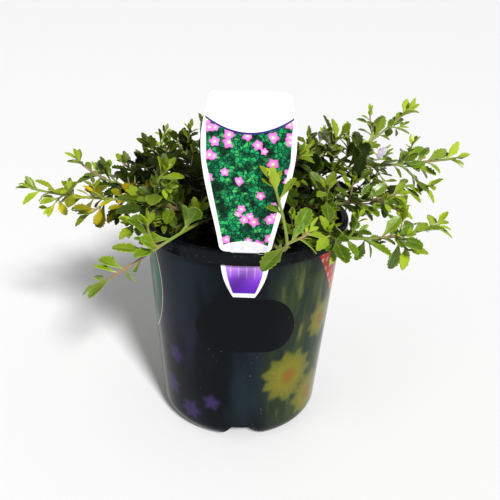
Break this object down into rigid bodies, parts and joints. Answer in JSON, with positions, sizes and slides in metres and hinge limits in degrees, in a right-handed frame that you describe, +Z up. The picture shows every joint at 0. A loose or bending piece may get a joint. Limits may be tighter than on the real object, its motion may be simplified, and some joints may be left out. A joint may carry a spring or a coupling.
{
  "type": "potted fan flower",
  "caption": "Fan flower in a round plastic nursery pot of potting mix: leafy shoots spread over the rim, some in bloom, and a tall waisted tag is clipped through the rim.",
  "frame": {"origin": "middle of the pot's flat base, on the surface that it stands on", "axes": "+Z up along the pot's axis; -Y is the front, where the tag stands; +X is to the right seen from the front"},
  "size_m": [0.2967, 0.2295, 0.2447],
  "materials": {
    "pot": "glossy near-black plastic with a printed wall",
    "soil": "rough damp bark mix",
    "tag": "printed sheet plastic, semi-gloss",
    "leaf": "fleshy green leaf, semi-gloss",
    "yellowing_leaf": "fleshy leaf turning yellow, semi-gloss",
    "petal": "pale mauve petal, matte"
  },
  "bodies": {
    "root": {"pot": "pot", "soil": "soil", "tag": "tag", "shoot_front_upright": "leaf", "shoot_front_left_trailing": "leaf", "shoot_left_front_upright": "leaf", "shoot_far_left": "yellowing_leaf", "shoot_left_high": "leaf", "shoot_left_back": "leaf", "shoot_left_top": "leaf", "shoot_left_rise": "leaf", "shoot_right_low": "leaf", "shoot_right_long": "leaf", "shoot_right_high": "leaf", "shoot_right_centre": "leaf", "shoot_right_front": "leaf", "shoot_right_back": "leaf", "shoot_back_right": "leaf", "shoot_back": "leaf", "shoot_back_left": "leaf", "shoot_crown_right": "leaf", "shoot_crown_front": "leaf", "shoot_crown_left": "leaf", "bloom_1": "petal", "bloom_2": "petal", "bloom_3": "petal"}
  },
  "joints": []
}
